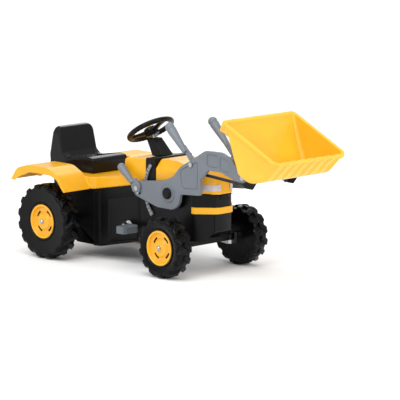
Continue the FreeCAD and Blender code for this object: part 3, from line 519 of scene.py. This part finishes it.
def bucket_ring(depth, half):
    """Points and outward directions, (along the rim, across), round the bucket at a depth."""
    rear, front = wall_at(REAR_WALL, depth), wall_at(FRONT_WALL, depth)
    r = min(0.022, (front - rear) * 0.35)
    tight = min(0.011 + 0.1 * depth, r)
    spots = []

    def side(start, end, outward, count):
        for k in range(1, count):
            spots.append((start.lerp(end, k / count), outward))

    def bend(centre, first, radius):
        for k in range(9):
            angle = math.radians(first + 90 * k / 8)
            way = Vector((math.cos(angle), math.sin(angle)))
            spots.append((centre + way * radius, way))

    side(Vector((front, -half + r)), Vector((front, half - r)), Vector((1, 0)), 112)
    bend(Vector((front - r, half - r)), 0, r)
    side(Vector((front - r, half)), Vector((rear + tight, half)), Vector((0, 1)), 14)
    bend(Vector((rear + tight, half - tight)), 90, tight)
    side(Vector((rear, half - tight)), Vector((rear, -half + tight)), Vector((-1, 0)), 30)
    bend(Vector((rear + tight, -half + tight)), 180, tight)
    side(Vector((rear + tight, -half)), Vector((front - r, -half)), Vector((0, -1)), 14)
    bend(Vector((front - r, -half + r)), 270, r)
    return spots


def carried_spot(spot, outward, depth, level):
    """A ring's point moved along its wall, when the rim's hem carries it to another depth."""
    if level == depth:
        return spot
    shift = 0.0
    if outward.x > 0.3:
        shift = wall_at(FRONT_WALL, level) - wall_at(FRONT_WALL, depth)
    return Vector((spot.x + shift, spot.y))


def bucket_rows():
    """(depth, share of the hem's drop, offset) from the inner floor over the rim to the outer floor.

    An offset below 0 is a distance inwards, and one above 0 is a share of the hem's reach. A row
    on the outer wall has no share, and starts under the hem.
    """
    angles = [math.radians(degrees) for degrees in (90, 72, 54, 36, 18)]
    floor_bend = [(FLOOR_ROUND * math.sin(angle), FLOOR_INSET * (1 - math.cos(angle))) for angle in angles]
    outer_top = 0.012
    rows = [(BUCKET_BEND + sink - BUCKET_WALL, 0.0, -BUCKET_WALL - inset) for sink, inset in floor_bend]
    for k in range(20, 0, -1):
        rows.append((BUCKET_DEPTH * k / INNER_LEVELS - 0.001, 0.0, -BUCKET_WALL))
    rows += [(0.0022, 0.0, -BUCKET_WALL), (0.0006, 0.0, -0.0030), (0.0, 0.0, -0.0010), (0.0, 0.0, 0.5),
             (0.0009, 0.0, 0.85), (0.0026, 0.0, 1.0), (0.0026, 0.6, 1.0), (0.0026, 1.0, 1.0),
             (0.0040, 1.0, 0.8), (HEM_LIP, 1.0, 0.4), (HEM_LIP, 1.0, 0.0)]
    for k in range(OUTER_LEVELS + 1):
        rows.append((outer_top + (BUCKET_BEND - outer_top) * k / OUTER_LEVELS, None, 0.0))
    rows += [(BUCKET_BEND + sink, None, -inset) for sink, inset in reversed(floor_bend)]
    return rows


def bucket():
    """Bowl with a rolled rim, a deep hem along its rear edge and ribs down its front lip."""
    low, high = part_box("bucket")
    rear = Vector((low.x + REAR_HEM_REACH, 0, high.z))
    way = (Vector((high.x, 0, high.z - RIM_DROP)) - rear).normalized()
    down = Vector((way.z, 0, -way.x))
    half = (high.y - low.y) / 2 - SIDE_HEM_REACH
    bm = bmesh.new()
    rings = []
    for depth, drop_share, offset in bucket_rows():
        spots = bucket_ring(min(depth, BUCKET_DEPTH), half)
        ring = []
        for spot, outward in spots:
            rearward = step(-outward.x, 0.3, 1.0)
            forward = step(outward.x, 0.3, 1.0)
            hem = 0.0080 + 0.0045 * rearward - 0.0025 * forward
            drop = 0.0080 + 0.0300 * rearward + 0.0010 * forward
            push = offset if offset <= 0 else hem * offset
            level = depth
            if drop_share is None:
                level = max(depth, HEM_LIP + drop)
            elif drop_share > 0:
                level = depth + drop * drop_share
            along_y = (spot.y / RIB_PITCH) % 1.0
            rib = 1.0 - step(abs(along_y - 0.5), 0.12, 0.26)
            fade = 1.0 - step(depth, 0.070, 0.105)
            if forward and abs(spot.y) < half - 0.006:
                push += RIB_RISE * rib * fade * (INNER_RIB_SHARE if offset < 0 else 1.0)
            if rearward and offset == -BUCKET_WALL:
                panel = (1.0 - step(abs(spot.y), 0.050, 0.058)) * step(depth, 0.040, 0.048)
                push -= PANEL_RISE * panel * (1.0 - step(depth, 0.090, 0.098))
            base = carried_spot(spot, outward, depth, level)
            place_at = rear + way * (base.x + outward.x * push) + down * level
            ring.append(bm.verts.new((place_at.x, base.y + outward.y * push, place_at.z)))
        rings.append(ring)
    join_and_cap(bm, rings)
    place(link_mesh("bucket_moulded", mesh_from("bucket_moulded", bm, 55)), "bucket")


# Steering wheel
GRIP_RADIUS = 0.0095
GRIP_CLEARANCE = 0.0004
FINGER_DEPTH = 0.0009
FINGER_COUNT = 36
SPOKE_TURNS = (0, 130, 230)
SPOKE_START = 0.0215       # clear of the horn button in the hub's cup
# (radius, height) round the hub, with a cup in its top for the horn button
HUB_SECTION = ((0.0055, -0.0212), (0.021, -0.0212), (0.0238, -0.019), (0.0250, -0.004),
               (0.0242, 0.003), (0.0215, 0.0052), (0.0185, 0.0050), (0.0176, 0.0030),
               (0.0176, -0.0022), (0.0055, -0.0022))


def steering_frame():
    """Matrix that carries +Z on to the steering shaft's axis, at the middle of the wheel."""
    joint = JOINTS["steering_turn"]
    axis = Vector(joint["axis"]).normalized()
    across = Vector((0, 1, 0))
    forward = across.cross(axis)
    matrix = Matrix((forward, across, axis)).transposed().to_4x4()
    matrix.translation = Vector(joint["pos_m"])
    return matrix


def add_swept(bm, points, radii, squash, sides=14):
    """Closed rod with an oval section, through points that don't run straight up."""
    rings = []
    for i, point in enumerate(points):
        ahead = points[min(i + 1, len(points) - 1)] - points[max(i - 1, 0)]
        way = ahead.normalized()
        flat = way.cross(Vector((0, 0, 1))).normalized()
        up = flat.cross(way)
        ring = []
        for k in range(sides):
            angle = 2 * math.pi * k / sides
            offset = flat * math.cos(angle) * radii[i] + up * math.sin(angle) * radii[i] * squash
            ring.append(bm.verts.new(point + offset))
        rings.append(ring)
    join_and_cap(bm, rings)


def steering_wheel():
    """Ring with a finger grip under it, three spokes and a hub, built level and then tilted."""
    node = "steering_wheel"
    low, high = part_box(node)
    ring_r = (high.y - low.y) / 2 - GRIP_RADIUS
    bm = bmesh.new()
    steps, sides = 144, 20
    rings = []
    for i in range(steps):
        angle = 2 * math.pi * i / steps
        ring = []
        for k in range(sides):
            turn = 2 * math.pi * k / sides
            under = max(0.0, -math.sin(turn))
            finger = FINGER_DEPTH * under * (0.5 + 0.5 * math.cos(angle * FINGER_COUNT))
            r = GRIP_RADIUS - finger - GRIP_CLEARANCE
            reach = ring_r + r * math.cos(turn)
            spot = (reach * math.cos(angle), reach * math.sin(angle), r * math.sin(turn))
            ring.append(bm.verts.new(spot))
        rings.append(ring)
    join_rings(bm, rings)
    for turn in SPOKE_TURNS:
        way = Vector((math.cos(math.radians(turn)), math.sin(math.radians(turn)), 0))
        points, radii = [], []
        for share in (0.0, 0.12, 0.3, 0.55, 0.8, 0.93, 1.0):
            reach = SPOKE_START + (ring_r - SPOKE_START) * share
            points.append(way * reach + Vector((0, 0, -0.0065 + 0.004 * share)))
            radii.append(0.0165 - 0.0040 * math.sin(math.pi * share))
        add_swept(bm, points, radii, 0.42)
    rings = []
    turns = [2 * math.pi * k / 48 for k in range(48)]
    for r, z in HUB_SECTION:
        rings.append([bm.verts.new((r * math.cos(turn), r * math.sin(turn), z)) for turn in turns])
    join_rings(bm, rings)
    bmesh.ops.transform(bm, matrix=steering_frame(), verts=bm.verts)
    place(link_mesh("steering_wheel_moulded", mesh_from("steering_wheel_moulded", bm, 40)), node)


# Drive chain
CHAIN_LINKS = 80
CHAIN_RISE = 0.0042        # from a sprocket's radius out to the line of the pins
INNER_PLATE, OUTER_PLATE = 0.0024, 0.0034
PLATE_THICK = 0.0008
PLATE_RADIUS = 0.0026
PIN_RADIUS = 0.0016
PIN_LENGTH = 0.0078


def chain_path(count):
    """Points, one per link, round the chainring and the rear sprocket."""
    wheels = []
    for node in ("rear_sprocket", "chainring"):
        low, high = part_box(node)
        wheels.append(((low + high) / 2, (high.z - low.z) / 2 + CHAIN_RISE))
    (rear, rear_r), (front, front_r) = wheels
    span = (front - rear).length
    lean = math.atan2(front.z - rear.z, front.x - rear.x)
    wrap = math.asin((front_r - rear_r) / span)
    straight = span * math.cos(wrap)
    front_arc = front_r * (math.pi + 2 * wrap)
    rear_arc = rear_r * (math.pi - 2 * wrap)
    total = 2 * straight + front_arc + rear_arc
    up = lean + math.pi / 2 + wrap
    down = lean - math.pi / 2 - wrap

    def on(centre, r, angle):
        return Vector((centre.x + r * math.cos(angle), rear.y, centre.z + r * math.sin(angle)))

    for i in range(count):
        s = total * i / count
        if s < straight:
            yield on(rear, rear_r, up).lerp(on(front, front_r, up), s / straight)
        elif s < straight + front_arc:
            yield on(front, front_r, up - (s - straight) / front_r)
        elif s < 2 * straight + front_arc:
            share = (s - straight - front_arc) / straight
            yield on(front, front_r, down).lerp(on(rear, rear_r, down), share)
        else:
            yield on(rear, rear_r, down - (s - 2 * straight - front_arc) / rear_r)


def add_plate(bm, start, end, y, thick, r):
    """Link plate with round ends."""
    way = (end - start).normalized()
    up = Vector((-way.z, 0, way.x))
    faces = []
    for side_y in (y - thick / 2, y + thick / 2):
        verts = []
        for centre, first in ((start, math.pi / 2), (end, -math.pi / 2)):
            for k in range(7):
                angle = first + math.pi * k / 6
                spot = centre + way * (r * math.cos(angle)) + up * (r * math.sin(angle))
                verts.append(bm.verts.new((spot.x, side_y, spot.z)))
        faces.append(verts)
    bm.faces.new(faces[0])
    bm.faces.new(list(reversed(faces[1])))
    join_pair(bm, faces[0], faces[1])


def drive_chain():
    """Chain of links that are inner and outer by turns, with a pin at each joint."""
    bm = bmesh.new()
    spots = list(chain_path(CHAIN_LINKS))
    for i, spot in enumerate(spots):
        following = spots[(i + 1) % len(spots)]
        offset = INNER_PLATE if i % 2 else OUTER_PLATE
        for side in (-1, 1):
            add_plate(bm, spot, following, spot.y + side * offset, PLATE_THICK, PLATE_RADIUS)
        pin = bmesh.ops.create_cone(bm, cap_ends=True, segments=10, radius1=PIN_RADIUS,
                                    radius2=PIN_RADIUS, depth=PIN_LENGTH)
        turn = Matrix.Rotation(math.pi / 2, 4, "X")
        turn.translation = spot
        bmesh.ops.transform(bm, matrix=turn, verts=pin["verts"])
    place(link_mesh("drive_chain_links", mesh_from("drive_chain_links", bm, 30)), "drive_chain")


# Floor
FLOOR_GAP = 0.0004


def make_floor():
    bm = bmesh.new()
    bmesh.ops.create_grid(bm, x_segments=2, y_segments=2, size=60)
    bmesh.ops.translate(bm, vec=(0, 0, cad_low.z - FLOOR_GAP), verts=bm.verts)
    floor = link_mesh("studio_floor", mesh_from("studio_floor", bm))
    material = bpy.data.materials.new("floor")
    material.use_nodes = True
    shader = material.node_tree.nodes["Principled BSDF"]
    shader.inputs["Base Color"].default_value = (0.93, 0.93, 0.93, 1.0)
    shader.inputs["Roughness"].default_value = 0.9
    shader.inputs["Specular IOR Level"].default_value = 0.1
    floor.data.materials.append(material)


# Each node's edge radius, for the nodes that keep their CAD shape
ROUNDED = {
    "lower_body": 0.0022, "bumper_strip": 0.0015, "dash_cowl": 0.0020,
    "column_shroud": 0.0025, "front_axle_beam": 0.0012, "cross_tube": 0.0004,
    "hub_caps": 0.0010, "latch_racks": 0.0005, "bucket_brackets": 0.0008, "horn_button": 0.0008,
}
for side in SIDES:
    ROUNDED[f"loader_arm_{side}"] = 0.0020
    ROUNDED[f"pedal_{side}"] = 0.0014
    ROUNDED[f"crank_{side}"] = 0.0006

# Voxel size and rounds of smoothing, for the nodes that are round all over
SEAT_SOFTNESS = (0.0022, 14)
DECK_SOFTNESS = (0.0024, 6)
HOOD_SOFTNESS = (0.0020, 26)
HANDLE_SOFTNESS = (0.0013, 4)
LEVER_SOFTNESS = (0.0011, 3)

make_camera()
make_light()
make_floor()
for name, round_width in ROUNDED.items():
    rounded_copy(name, round_width)
soft_copy("seat", *SEAT_SOFTNESS)
soft_copy("upper_body", *DECK_SOFTNESS)
soft_copy("hood", *HOOD_SOFTNESS)
for side in SIDES:
    soft_copy(f"latch_handle_{side}", *HANDLE_SOFTNESS)
    soft_copy(f"tip_lever_{side}", *LEVER_SOFTNESS)
    for end, lugs in LUGS.items():
        tyre(f"tyre_{end}_{side}", lugs)
    for end in LUGS:
        rim(f"rim_{end}_{side}")
bucket()
steering_wheel()
drive_chain()
for name, cad_object in NODES.items():
    cad_object.data.materials.clear()
    cad_object.data.materials.append(MATERIALS[SLOT_OF[name]])
